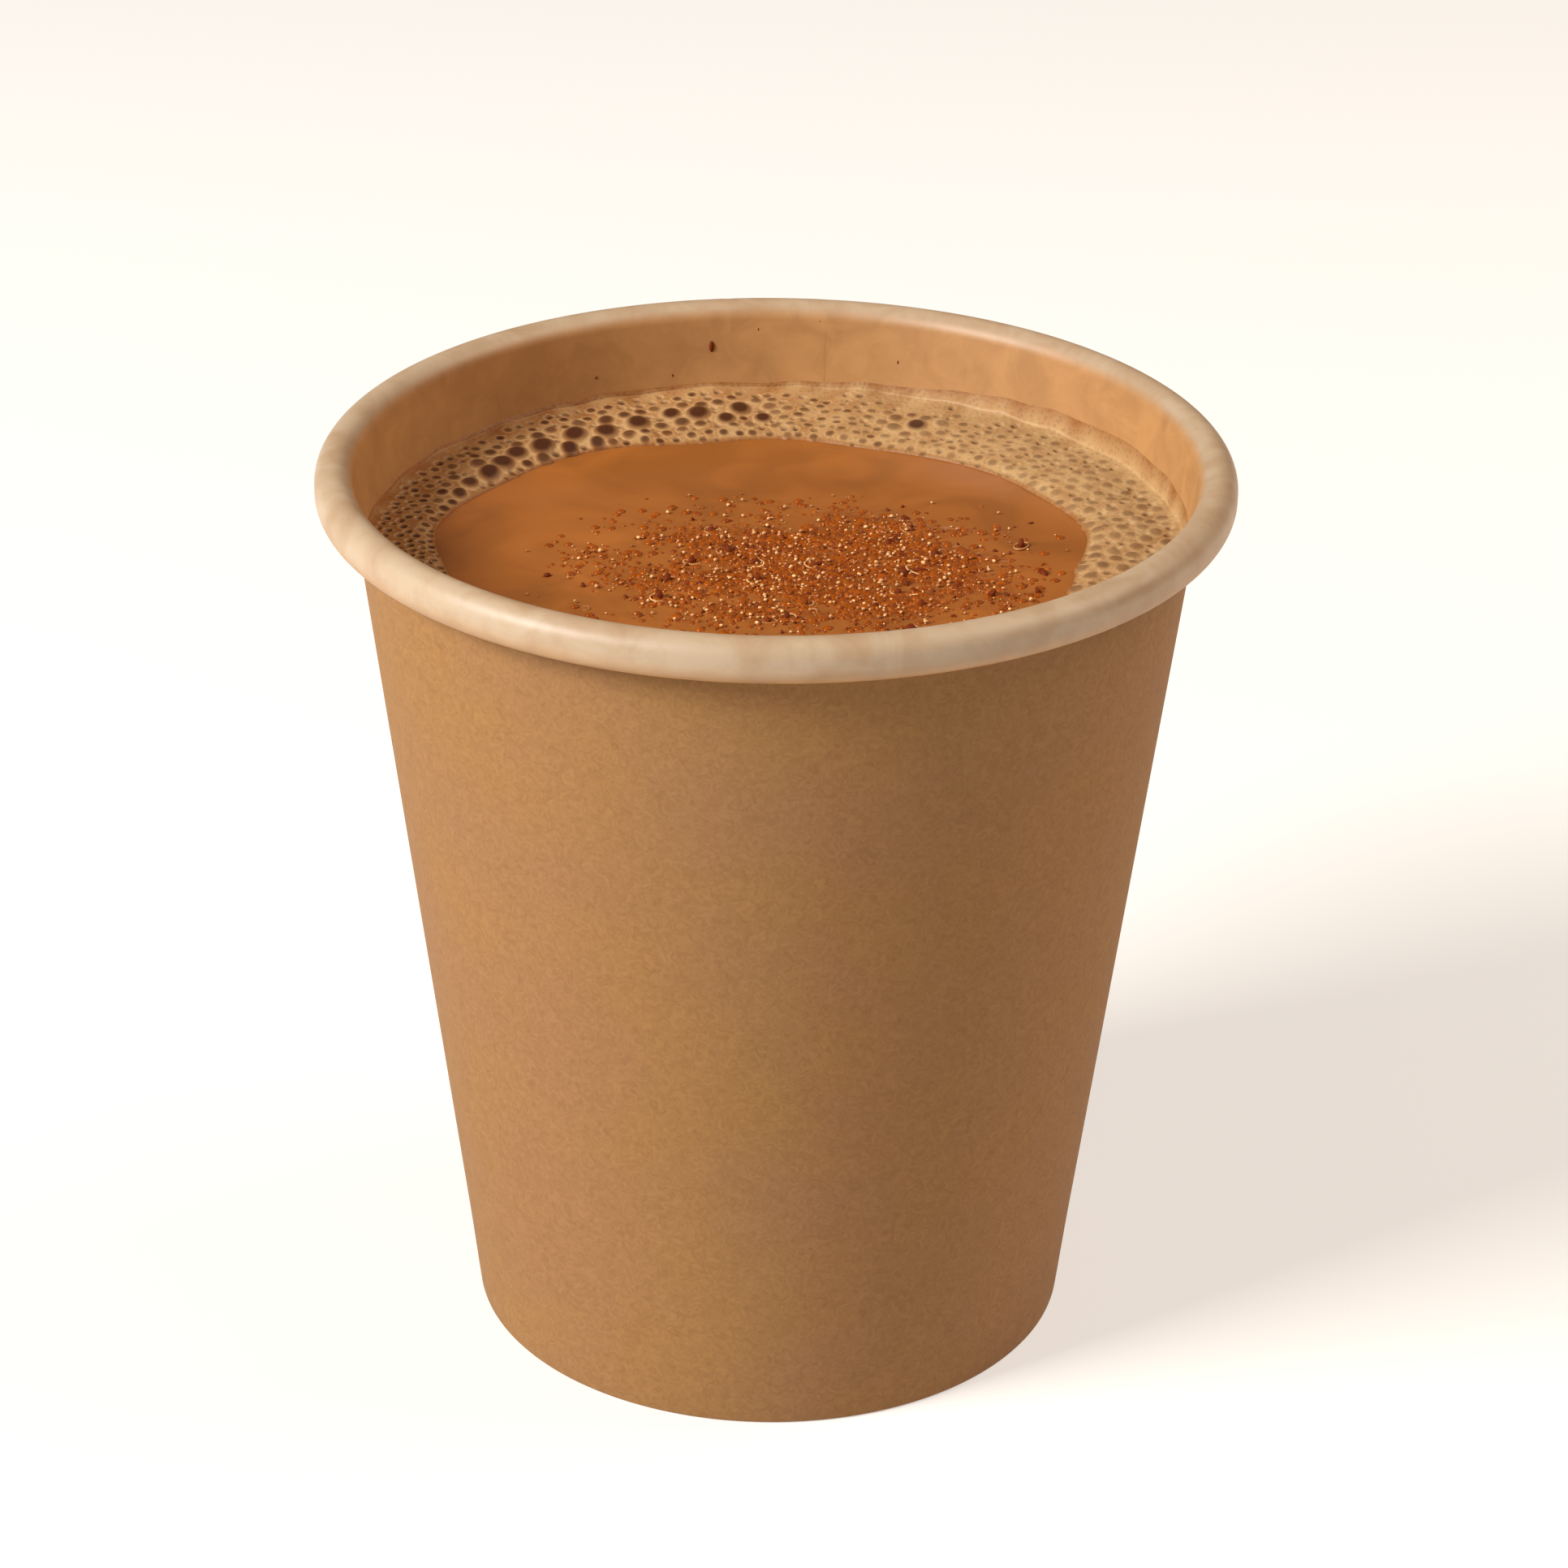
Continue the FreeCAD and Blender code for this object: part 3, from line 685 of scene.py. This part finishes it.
def pack_bubbles(form, drink):
    """Bubbles side by side in the ring of froth: rows of (radius from axis, turn, own radius, tone).

    The largest are at the back left, and the froth at the back right is nearly all too fine to
    count. Bubbles are tried from the largest down, and one that would overlap another is left out.
    """
    random = np.random.default_rng(drink.seed)
    tries = BUBBLE_TRIES
    turn = random.uniform(-math.pi, math.pi, tries)
    degrees = np.degrees(turn)
    inner = opening_radius(form, drink, turn)
    outer = form.inner(form.tea_level)
    place = random.uniform(0, 1, tries)
    from_axis = inner + (outer - inner) * place
    back_left = turn_bump(degrees, 132, 30)
    right = turn_bump(degrees, -20, 48)
    left = turn_bump(degrees, 182, 24)
    large_row = bump(from_axis, 27.6 * MM, 2.4 * MM)
    few = turn_bump(degrees, 98, 7) + 0.8 * turn_bump(degrees, 65, 6)
    share = 0.4 + 0.6 * np.minimum(1, 1.3 * back_left + few) * large_row + 0.24 * right - 0.1 * left
    top = drink.bubble_small * (drink.bubble_large / drink.bubble_small) ** np.clip(share, 0, 1)
    size = drink.bubble_small * (top / drink.bubble_small) ** (random.uniform(0, 1, tries) ** 0.8)
    plain = 0.55 + 0.45 * turn_bump(degrees, 62, 38) - 0.4 * right
    kept = random.uniform(0, 1, tries) > plain * smooth_step(place, 0.35, 0.8)
    inside = (from_axis + size < outer - 0.5 * MM) & (from_axis - size * 0.8 > inner)
    # The tone sets how dark a bubble's middle is, a painted shade. It is made lighter at the right and
    # back right, a painted light where the key light falls.
    tone = random.uniform(0.6, 1, tries) * (1 - 0.45 * turn_bump(degrees, 20, 60))
    tone = np.maximum(tone, smooth_step(size, 0.6 * MM, 0.8 * MM))
    walls = 0.06 * MM + size * random.uniform(0.02, 0.6, tries)
    order = [i for i in np.argsort(-size) if kept[i] and inside[i]]
    spots = np.stack([from_axis * np.cos(turn), from_axis * np.sin(turn)], -1)
    step = 2.4 * MM
    shelf = {}
    chosen = []
    for i in order:
        column, line = int(spots[i, 0] // step), int(spots[i, 1] // step)
        near = [j for a in (-1, 0, 1) for b in (-1, 0, 1) for j in shelf.get((column + a, line + b), ())]
        if near:
            gaps = np.hypot(*(spots[near] - spots[i]).T) - size[near] - size[i]
            if gaps.min() < walls[i]:
                continue
        shelf.setdefault((column, line), []).append(i)
        chosen.append(i)
    return np.stack([from_axis, turn, size, tone], -1)[chosen]


def froth_mesh(form, drink):
    """The ring of froth: pale walls with a hollow for each bubble, thin at its inner edge."""
    count, level = FROTH_TURNS, form.tea_level
    turn = np.linspace(-math.pi, math.pi, count, endpoint=False)
    bubbles = pack_bubbles(form, drink)
    edge = opening_radius(form, drink, turn)
    for from_axis, at, size, tone in bubbles:
        hull = (size * 1.18) ** 2 - (from_axis * ((turn - at + math.pi) % (2 * math.pi) - math.pi)) ** 2
        edge = np.where(hull > 0, np.minimum(edge, from_axis - np.sqrt(np.abs(hull))), edge)
    reach = form.board * 0.35
    outer = form.inner(level + 0.8 * MM) - 0.15 * MM
    place = np.linspace(0, 1, FROTH_STEPS)[:, None]
    radius = edge + (outer - edge) * place
    x, y = radius * np.cos(turn), radius * np.sin(turn)
    nearest = np.full(radius.shape, 9.0)
    sizes = np.zeros(radius.shape)
    tones = np.zeros(radius.shape)
    step = 2 * math.pi / count
    for from_axis, at, size, tone in bubbles:
        middle = int((at + math.pi) / step)
        span = int(size * 2.3 / from_axis / step) + 2
        columns = np.arange(middle - span, middle + span + 1) % count
        tall = 1 + MOST_STRETCH * float(smooth_step(size, 0.4 * MM, 0.9 * MM))
        beside = x[:, columns] - from_axis * math.cos(at)
        behind = (y[:, columns] - from_axis * math.sin(at)) / tall
        away = np.hypot(beside, behind) / size
        closer = away < nearest[:, columns]
        nearest[:, columns] = np.where(closer, away, nearest[:, columns])
        tones[:, columns] = np.where(closer, tone, tones[:, columns])
        sizes[:, columns] = np.where(closer, size, sizes[:, columns])
    hollow = smooth_step(nearest, 1.08, 0.5)
    from_edge = radius - edge
    depth = drink.froth_depth * (0.35 + 0.65 * smooth_step(from_edge, 0, 1.6 * MM))
    body = depth * (1 + 0.25 * waves(turn * 5, 41, 3, 7))
    at_wall = 0.3 * MM * np.exp(-(outer - radius) / (0.9 * MM))
    # Large bubbles stand up as low domes, and small ones are open hollows. Both are coloured dark in the
    # middle through the bubble value, a painted shade for the dimness inside them.
    domed = smooth_step(sizes, 0.34 * MM, 0.5 * MM)
    dome = 0.25 * sizes * np.sqrt(np.clip(1 - nearest ** 2, 0, 1))
    height = level + body + at_wall + domed * dome - 0.6 * depth * hollow * (1 - domed)
    height[0] = level - 0.05 * MM
    # Above the ring a thin coat of froth clings to the wall, most at the right and the back right.
    degrees = np.degrees(turn)
    cling = (0.5 + 2.2 * turn_bump(degrees, 28, 42) + 0.12 * waves(turn, 51, 4, 8)) * MM
    rise = np.linspace(0.12, 1, 7)[:, None]
    coat_z = height[-1] + np.maximum(cling, 0.2 * MM) * rise
    coat_r = form.inner(coat_z) + (0.1 - 0.3 * (1 - rise) ** 0.7) * MM
    under = level - 0.3 * MM
    base = [around(form.inner(coat_z[-1]) + reach * 2, coat_z[-1], turn),
            around(form.inner(under) + reach, under, turn), around(radius[0], under, turn)]
    points = np.concatenate([around(radius, height, turn), around(coat_r, coat_z, turn), base])
    # Froth is pale where it is deep and in the walls round each bubble. It is also made paler at the right
    # and back right, partly for the finer froth there and partly as painted light where the key light
    # falls, and browner at the left as painted shade under the left wall.
    pale = 0.25 + 0.6 * turn_bump(degrees, 35, 62) - 0.15 * turn_bump(degrees, 182, 30)
    pale = pale + 0.2 * cloud(x, y, (5 * MM, 2.5 * MM), 15)
    pale = np.maximum(pale, 0.95 * bump(nearest, 1.1, 0.16)) * smooth_step(from_edge, 0, 0.5 * MM)
    brown = 1 - pale
    thin = np.concatenate([np.clip(brown, 0, 1), np.clip(brown[-1] + rise, 0, 1)])
    mesh = ring_mesh("froth_ring", points, closed=True)
    # The bubble value darkens the middle of each bubble and hollow: painted shade.
    add_values(mesh, "bubble", hollow * tones)
    add_values(mesh, "thin", thin)
    return mesh


# ---- Spice grains and small bubbles, scattered by Geometry Nodes ----

def wall_flakes_mesh(form):
    """A few dark flakes stuck to the inner wall at the back: turn in degrees, depth and size in mm."""
    work = bmesh.new()
    for degrees, depth, size in ((100, 3.6, 0.42), (93, 2.2, 0.12), (118, 5.2, 0.13), (72, 4.4, 0.15),
                                 (84, 1.4, 0.1), (106, 5.9, 0.12)):
        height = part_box("cup_wall")[1].z - depth * MM
        spot = Vector(around(form.inner(height) - WALL_WOBBLE / 2, height, math.radians(degrees)))
        shape = Matrix.Diagonal((size * 0.5, size * 0.5, size * 1.3, 1 / MM)) * MM
        turned = Matrix.Rotation(math.radians(degrees * 7 % 40 - 20), 4, "Y")
        bmesh.ops.create_icosphere(work, subdivisions=2, radius=1,
                                   matrix=Matrix.Translation(spot) @ turned @ shape)
    mesh = bpy.data.meshes.new("wall_flakes")
    work.to_mesh(mesh)
    work.free()
    return mesh


def scatter_ground(form, name, spread=1.0):
    """A fine grid over the spiced part of the chai, with the share of spice at each point."""
    steps = np.arange(-24, 24.1, 0.6) * MM
    x, y = np.meshgrid(steps, steps)
    side = len(steps)
    points = np.stack([x, y, np.full_like(x, form.tea_level)], -1).reshape(-1, 3)
    index = np.arange(side * side).reshape(side, side)
    faces = np.stack([index[:-1, :-1], index[:-1, 1:], index[1:, 1:], index[1:, :-1]], -1).reshape(-1, 4)
    mesh = bpy.data.meshes.new(name)
    mesh.from_pydata(points.tolist(), [], faces.tolist())
    add_values(mesh, "spice", spice_share(x / spread, y / spread))
    return mesh


SCATTER_INPUTS = {"Per square metre": "Float", "Smallest": "Float", "Largest": "Float",
                  "Rarity": "Float", "Lift": "Float", "Seed": "Int", "Material": "Material"}
STRETCH_SEED = 8
TURN_SEED = 3
TONE_SEED = 5
AFLOAT_LEAN = 0.15        # how far a floating bubble may lean, in radians


def random_value(tree, low, high, seed, kind="FLOAT"):
    """A random value for each point."""
    inputs = {"Min": low, "Max": high, "Seed": seed}
    return node(tree, "FunctionNodeRandomValue", inputs, data_type=kind).outputs["Value"]


def scatter_tree(name, shape, flatness, upright):
    """A node tree that scatters one shape where the spice lies.

    shape adds the nodes of a shape one metre in radius and returns its mesh socket.
    """
    tree = bpy.data.node_groups.new(name, "GeometryNodeTree")
    face = tree.interface
    face.new_socket(name="Ground", in_out="INPUT", socket_type="NodeSocketGeometry")
    face.new_socket(name="Scattered", in_out="OUTPUT", socket_type="NodeSocketGeometry")
    for label, kind in SCATTER_INPUTS.items():
        face.new_socket(name=label, in_out="INPUT", socket_type="NodeSocket" + kind)
    given = node(tree, "NodeGroupInput").outputs
    share = node(tree, "GeometryNodeInputNamedAttribute", {"Name": "spice"}, data_type="FLOAT")
    density = maths(tree, "MULTIPLY", given["Per square metre"], share.outputs["Attribute"])
    spots = node(tree, "GeometryNodeDistributePointsOnFaces",
                 {"Mesh": given["Ground"], "Density": density, "Seed": given["Seed"]})
    # The rarity is how much more common small ones are than large ones.
    rare = maths(tree, "POWER", random_value(tree, 0.0, 1.0, given["Seed"]), given["Rarity"])
    size = remap(tree, rare, 0.0, 1.0, given["Smallest"], given["Largest"])
    toned = node(tree, "GeometryNodeStoreNamedAttribute",
                 {"Geometry": spots.outputs["Points"], "Name": "tone",
                  "Value": random_value(tree, 0.0, 1.0, TONE_SEED)}, data_type="FLOAT", domain="POINT")
    rise = node(tree, "ShaderNodeCombineXYZ", {"Z": maths(tree, "MULTIPLY", size, given["Lift"])})
    lifted = node(tree, "GeometryNodeSetPosition", {"Geometry": toned.outputs["Geometry"],
                                                    "Offset": rise.outputs["Vector"]})
    stretch = random_value(tree, *flatness, STRETCH_SEED, "FLOAT_VECTOR")
    scale = node(tree, "ShaderNodeVectorMath", {0: stretch, "Scale": size}, operation="SCALE")
    lean = AFLOAT_LEAN if upright else math.pi
    turned = random_value(tree, (-lean, -lean, -math.pi), (lean, lean, math.pi), TURN_SEED,
                          "FLOAT_VECTOR")
    placed = node(tree, "GeometryNodeInstanceOnPoints",
                  {"Points": lifted.outputs["Geometry"], "Instance": shape(tree),
                   "Rotation": turned, "Scale": scale.outputs["Vector"]})
    real = node(tree, "GeometryNodeRealizeInstances", {"Geometry": placed.outputs["Instances"]})
    smooth = node(tree, "GeometryNodeSetShadeSmooth", {"Geometry": real.outputs["Geometry"]})
    done = node(tree, "GeometryNodeSetMaterial", {"Geometry": smooth.outputs["Geometry"],
                                                  "Material": given["Material"]})
    node(tree, "NodeGroupOutput", {"Scattered": done.outputs["Geometry"]})
    return tree


def ball(tree):
    """A ball of 80 faces."""
    return node(tree, "GeometryNodeMeshIcoSphere", {"Radius": 1.0, "Subdivisions": 2}).outputs["Mesh"]


def crumb(tree):
    """An angular grain of 20 faces."""
    return node(tree, "GeometryNodeMeshIcoSphere", {"Radius": 1.0, "Subdivisions": 1}).outputs["Mesh"]


def hoop(tree):
    """A thin hoop, the outline of a bubble."""
    run = node(tree, "GeometryNodeCurvePrimitiveCircle", {"Resolution": 14, "Radius": 1.0})
    thick = node(tree, "GeometryNodeCurvePrimitiveCircle", {"Resolution": 5, "Radius": 0.1})
    return node(tree, "GeometryNodeCurveToMesh", {"Curve": run.outputs["Curve"],
                                                  "Profile Curve": thick.outputs["Curve"]}).outputs["Mesh"]


def scattered(name, ground, tree, values):
    """Runs a scatter tree over the ground and returns the plain mesh that it makes."""
    holder = bpy.data.objects.new(name + "_ground", ground)
    bpy.context.scene.collection.objects.link(holder)
    modifier = holder.modifiers.new(name, "NODES")
    modifier.node_group = tree
    for item in tree.interface.items_tree:
        if item.in_out == "INPUT" and item.name in values:
            modifier[item.identifier] = values[item.name]
    bpy.context.view_layer.update()
    seen = holder.evaluated_get(bpy.context.evaluated_depsgraph_get())
    mesh = bpy.data.meshes.new_from_object(seen)
    holder.modifiers.remove(modifier)
    bpy.data.objects.remove(holder)
    mesh.name = name
    return mesh


def add_scattered(name, shape, flatness, upright, values, spread=1.0):
    """Scatters a shape over the spiced chai as one piece. values go with SCATTER_INPUTS, in order."""
    per_square_metre = values[0] / CM ** 2
    inputs = dict(zip(SCATTER_INPUTS, (per_square_metre, *values[1:])))
    ground = scatter_ground(CupForm(bpy.context.scene.chai_cup), name + "_base", spread)
    mesh = scattered(name, ground, scatter_tree(name, shape, flatness, upright), inputs)
    add_piece(name, mesh, [inputs["Material"]])


# ---- Operators ----

class CHAI_OT_cup_side(bpy.types.Operator):
    """Make the leaning side sheet with its rolled rim, folded foot and glued lap"""
    bl_idname = "chai.cup_side"
    bl_label = "Cup side"

    def execute(self, context):
        cup = context.scene.chai_cup
        mesh, kinds = cup_side_mesh(CupForm(cup), cup)
        add_piece("cup_side", mesh, [kraft_board(cup), lined_kraft(cup)], ["cup_wall"])
        mesh.polygons.foreach_set("material_index", kinds)
        return {"FINISHED"}


class CHAI_OT_cup_floor(bpy.types.Operator):
    """Make the recessed floor disc with its turned-down skirt"""
    bl_idname = "chai.cup_floor"
    bl_label = "Cup floor"

    def execute(self, context):
        cup = context.scene.chai_cup
        mesh = cup_floor_mesh(CupForm(cup), cup)
        add_piece("cup_floor_disc", mesh, [kraft_board(cup)], ["cup_floor"])
        return {"FINISHED"}


class CHAI_OT_drink(bpy.types.Operator):
    """Pour the chai, with the stain of spice on its surface"""
    bl_idname = "chai.drink"
    bl_label = "Chai"

    def execute(self, context):
        scene = context.scene
        mesh = chai_mesh(CupForm(scene.chai_cup))
        add_piece("chai_surface", mesh, [milky_tea(scene.chai_drink, scene.chai_spice)],
                  ["chai"])
        return {"FINISHED"}


class CHAI_OT_froth(bpy.types.Operator):
    """Lay the ring of froth round the wall"""
    bl_idname = "chai.froth"
    bl_label = "Froth"

    def execute(self, context):
        scene = context.scene
        mesh = froth_mesh(CupForm(scene.chai_cup), scene.chai_drink)
        add_piece("froth_ring", mesh, [tea_froth(scene.chai_drink)], ["froth"])
        return {"FINISHED"}


class CHAI_OT_grains(bpy.types.Operator):
    """Scatter the grains of ground spice"""
    bl_idname = "chai.grains"
    bl_label = "Spice grains"

    def execute(self, context):
        spice = context.scene.chai_spice
        add_scattered("spice_grains", crumb, ((0.5, 0.4, 0.25), (1.3, 1.0, 0.6)), False,
                      (spice.grains, spice.grain_small, spice.grain_large, 2.2, -0.1, spice.seed,
                       wet_spice(spice)))
        return {"FINISHED"}


class CHAI_OT_flakes(bpy.types.Operator):
    """Scatter the few larger dark flakes, and the ones that stick to the wall above the froth"""
    bl_idname = "chai.flakes"
    bl_label = "Dark flakes"

    def execute(self, context):
        spice = context.scene.chai_spice
        look = wet_flake(spice)
        add_scattered("spice_flakes", crumb, ((0.6, 0.45, 0.3), (1.3, 0.8, 0.5)), False,
                      (spice.flakes, spice.flake_small, spice.flake_large, 3.0, 0.05, spice.seed + 3,
                       look), spread=1.15)
        mesh = wall_flakes_mesh(CupForm(context.scene.chai_cup))
        add_piece("wall_flakes", mesh, [look])
        return {"FINISHED"}


class CHAI_OT_bubbles(bpy.types.Operator):
    """Scatter the small bubbles, the pale fine bubbles and the bubble outlines that float among the spice;
    the pale colour of the last two is partly a painted glint
    """
    bl_idname = "chai.bubbles"
    bl_label = "Small bubbles"

    def execute(self, context):
        spice = context.scene.chai_spice
        add_scattered("small_bubbles", ball, ((0.8, 0.8, 0.55), (1.1, 1.1, 0.8)), True,
                      (spice.beads, spice.bead_small, spice.bead_large, 1.3, -0.1, spice.seed + 1,
                       bubble_film(spice)))
        # The pale colour of the fine bubbles and of the outlines is partly a painted glint.
        pale = fine_bubble_glints(spice)
        add_scattered("fine_bubble_glints", crumb, ((0.8, 0.8, 0.7), (1.3, 1.0, 1.0)), True,
                      (spice.specks, spice.speck_small, spice.speck_large, 2.0, 1.2, spice.seed + 2,
                       pale))
        # The outlines take the same pale colour: partly real rims of bubbles, partly painted highlights
        # along them.
        add_scattered("bubble_outline_glints", hoop, ((0.6, 0.6, 0.8), (1.5, 1.3, 1.0)), True,
                      (spice.rings, spice.ring_small, spice.ring_large, 1.8, 0.05, spice.seed + 3,
                       pale))
        return {"FINISHED"}


FLOOR_HALF = 2.5          # half the floor's side, in metres
SENSOR = 36               # the camera's sensor width, in millimetres


def aimed(place, target, roll=0.0):
    """A matrix at a place that looks at a target, turned by roll about its own axis."""
    look = (Vector(target) - Vector(place)).to_track_quat("-Z", "Y").to_matrix().to_4x4()
    return Matrix.Translation(place) @ look @ Matrix.Rotation(roll, 4, "Z")


def add_light(name, place, target, watts, width, height, rgb):
    """A soft rectangular light."""
    data = bpy.data.lights.new(name, "AREA")
    data.shape = "RECTANGLE"
    data.size, data.size_y = width, height
    data.energy = watts
    data.color = rgb
    light = bpy.data.objects.new(name, data)
    light.matrix_world = aimed(place, target)
    bpy.context.scene.collection.objects.link(light)


class CHAI_OT_stage(bpy.types.Operator):
    """Set up the pale floor, the soft lights and the camera"""
    bl_idname = "chai.stage"
    bl_label = "Stage"

    def execute(self, context):
        scene, stage = context.scene, context.scene.chai_stage
        middle = Vector((0, 0, CAD_BOX[1].z / 2))
        floor = bpy.data.meshes.new("floor")
        half = FLOOR_HALF
        floor.from_pydata([(-half, -half, 0), (half, -half, 0), (half, half, 0), (-half, half, 0)], [],
                          [(0, 1, 2, 3)])
        floor.materials.append(pale_floor(stage))
        tabletop = bpy.data.objects.new("floor", floor)
        scene.collection.objects.link(tabletop)
        add_light("key", (-0.687, -0.365, 0.583), middle, stage.key, 0.36, 0.36, (1.0, 1.0, 0.98))
        add_light("fill", (0.50, 0.08, 0.52), middle, stage.fill, 0.45, 0.45, (1.0, 0.82, 0.65))
        world = bpy.data.worlds.new("surround")
        world.use_nodes = True
        sky = world.node_tree.nodes["Background"].inputs
        sky["Color"].default_value = (1, 0.84, 0.70, 1)
        sky["Strength"].default_value = stage.sky
        scene.world = world
        scene.view_settings.view_transform = "Standard"
        target = Vector((stage.aim_across, 0, stage.aim_height))
        away = Vector((0, -math.cos(stage.pitch), math.sin(stage.pitch))) * stage.distance
        data = bpy.data.cameras.new("camera")
        data.lens = stage.lens
        data.sensor_width = SENSOR
        data.clip_start = 0.01
        camera = bpy.data.objects.new("camera", data)
        camera.matrix_world = aimed(target + away, target, stage.roll)
        scene.collection.objects.link(camera)
        scene.camera = camera
        return {"FINISHED"}


class CHAI_PT_panel(bpy.types.Panel):
    """The pieces of the cup of chai, in the order in which they are made"""
    bl_idname = "CHAI_PT_panel"
    bl_label = "Masala chai"
    bl_space_type = "VIEW_3D"
    bl_region_type = "UI"
    bl_category = "Chai"

    def draw(self, context):
        for made in OPERATORS:
            self.layout.operator(made.bl_idname)
        for group in GROUPS:
            box = self.layout.box()
            settings = getattr(context.scene, group)
            for name in settings.__annotations__:
                box.prop(settings, name)


GROUPS = {"chai_cup": CupSettings, "chai_drink": DrinkSettings, "chai_spice": SpiceSettings,
          "chai_stage": StageSettings}
OPERATORS = (CHAI_OT_cup_side, CHAI_OT_cup_floor, CHAI_OT_drink, CHAI_OT_froth, CHAI_OT_grains,
             CHAI_OT_flakes, CHAI_OT_bubbles, CHAI_OT_stage)


def register():
    for made in (*GROUPS.values(), *OPERATORS, CHAI_PT_panel):
        bpy.utils.register_class(made)
    for name, group in GROUPS.items():
        setattr(bpy.types.Scene, name, PointerProperty(type=group))


def unregister():
    for name in GROUPS:
        delattr(bpy.types.Scene, name)
    for made in reversed((*GROUPS.values(), *OPERATORS, CHAI_PT_panel)):
        bpy.utils.unregister_class(made)


def main():
    register()
    bpy.ops.chai.cup_side()
    bpy.ops.chai.cup_floor()
    bpy.ops.chai.drink()
    bpy.ops.chai.froth()
    bpy.ops.chai.grains()
    bpy.ops.chai.flakes()
    bpy.ops.chai.bubbles()
    bpy.ops.chai.stage()


if __name__ == "__main__":
    main()
